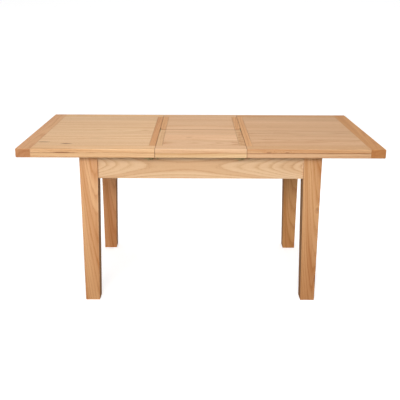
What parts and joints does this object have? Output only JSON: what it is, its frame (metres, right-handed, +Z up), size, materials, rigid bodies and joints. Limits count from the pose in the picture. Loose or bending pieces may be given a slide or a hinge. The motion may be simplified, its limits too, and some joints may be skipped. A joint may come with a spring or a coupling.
{
  "type": "extending dining table",
  "caption": "Rectangular oak dining table, shown extended: two sliding tops with a fold-over centre leaf between them on a fixed frame of tapered legs and aprons.",
  "frame": {"origin": "on the floor under the middle of the extended table", "axes": "+X along the table towards the right-hand top, +Y towards the back leaf half, +Z up"},
  "size_m": [1.69, 0.912, 0.78],
  "materials": {
    "oak_panel": "satin lacquered oak, staves along the table",
    "oak_edge": "satin lacquered oak, grain along the table",
    "oak_band": "satin lacquered oak, grain across the table",
    "oak_end_board": "satin lacquered oak, grain across the table, end grain at the corners",
    "oak_leg": "satin lacquered oak, upright grain",
    "oak_apron": "satin lacquered oak with cathedral grain",
    "plain_hardwood": "planed, unfinished hardwood",
    "aged_brass": "dull brass",
    "zinc_steel": "zinc-plated steel"
  },
  "bodies": {
    "base": {"back_apron": "oak_apron", "back_leaf_hinge_straps": "aged_brass", "back_leaf_keeper": "aged_brass", "back_leaf_left_band": "oak_band", "back_leaf_lock_base": "aged_brass", "back_leaf_panel": "oak_panel", "back_leaf_rail": "oak_edge", "back_leaf_right_band": "oak_band", "back_leaf_strip": "oak_edge", "back_slide_rail": "plain_hardwood", "corner_blocks": "plain_hardwood", "corner_bolts": "zinc_steel", "corner_nuts": "zinc_steel", "cross_bearers": "plain_hardwood", "frame_screws": "zinc_steel", "front_apron": "oak_apron", "front_slide_rail": "plain_hardwood", "leaf_pivot_plates": "zinc_steel", "leaf_rest_blocks": "plain_hardwood", "left_apron": "oak_apron", "leg_back_left": "oak_leg", "leg_back_right": "oak_leg", "leg_front_left": "oak_leg", "leg_front_right": "oak_leg", "pivot_brackets": "zinc_steel", "pivot_pins": "zinc_steel", "right_apron": "oak_apron"},
    "front_leaf": {"front_leaf_hinge_straps": "aged_brass", "front_leaf_keeper": "aged_brass", "front_leaf_left_band": "oak_band", "front_leaf_lock_base": "aged_brass", "front_leaf_panel": "oak_panel", "front_leaf_rail": "oak_edge", "front_leaf_right_band": "oak_band", "front_leaf_strip": "oak_edge"},
    "hinge_links": {"leaf_hinge_links": "aged_brass"},
    "left_joint_back_lever": {"left_joint_back_lock_lever": "aged_brass"},
    "left_joint_front_lever": {"left_joint_front_lock_lever": "aged_brass"},
    "left_top": {"left_top_back_rail": "oak_edge", "left_top_back_runner": "plain_hardwood", "left_top_back_strip": "oak_edge", "left_top_end_board": "oak_end_board", "left_top_front_rail": "oak_edge", "left_top_front_runner": "plain_hardwood", "left_top_front_strip": "oak_edge", "left_top_inner_band": "oak_band", "left_top_lock_bases": "aged_brass", "left_top_panel": "oak_panel"},
    "right_joint_back_lever": {"right_joint_back_lock_lever": "aged_brass"},
    "right_joint_front_lever": {"right_joint_front_lock_lever": "aged_brass"},
    "right_top": {"right_top_back_rail": "oak_edge", "right_top_back_runner": "plain_hardwood", "right_top_back_strip": "oak_edge", "right_top_end_board": "oak_end_board", "right_top_front_rail": "oak_edge", "right_top_front_runner": "plain_hardwood", "right_top_front_strip": "oak_edge", "right_top_inner_band": "oak_band", "right_top_keepers": "aged_brass", "right_top_panel": "oak_panel"}
  },
  "joints": [
    {"name": "left_top_slide", "type": "slide", "parent": "base", "child": "left_top", "axis": [-1, 0, 0], "range_m": [0, 0.03]},
    {"name": "right_top_slide", "type": "slide", "parent": "base", "child": "right_top", "axis": [1, 0, 0], "range_m": [0, 0.03]},
    {"name": "leaf_hinge_inner", "type": "hinge", "parent": "base", "child": "hinge_links", "pos_m": [0, 0.0054, 0.775], "axis": [-1, 0, 0], "range_deg": [0, 90]},
    {"name": "leaf_hinge_outer", "type": "hinge", "parent": "hinge_links", "child": "front_leaf", "pos_m": [0, -0.0054, 0.775], "axis": [-1, 0, 0], "range_deg": [0, 90]},
    {"name": "left_joint_front_lock", "type": "hinge", "parent": "left_top", "child": "left_joint_front_lever", "pos_m": [-0.2255, -0.431, 0.7312], "axis": [0, 0, -1], "range_deg": [0, 180]},
    {"name": "left_joint_back_lock", "type": "hinge", "parent": "left_top", "child": "left_joint_back_lever", "pos_m": [-0.2255, 0.431, 0.7312], "axis": [0, 0, 1], "range_deg": [0, 180]},
    {"name": "right_joint_front_lock", "type": "hinge", "parent": "front_leaf", "child": "right_joint_front_lever", "pos_m": [0.1935, -0.431, 0.7312], "axis": [0, 0, -1], "range_deg": [0, 180]},
    {"name": "right_joint_back_lock", "type": "hinge", "parent": "base", "child": "right_joint_back_lever", "pos_m": [0.1935, 0.431, 0.7312], "axis": [0, 0, 1], "range_deg": [0, 180]}
  ],
  "couplings": [
    {"joint": "leaf_hinge_outer", "follows": "leaf_hinge_inner", "ratio": 1}
  ]
}
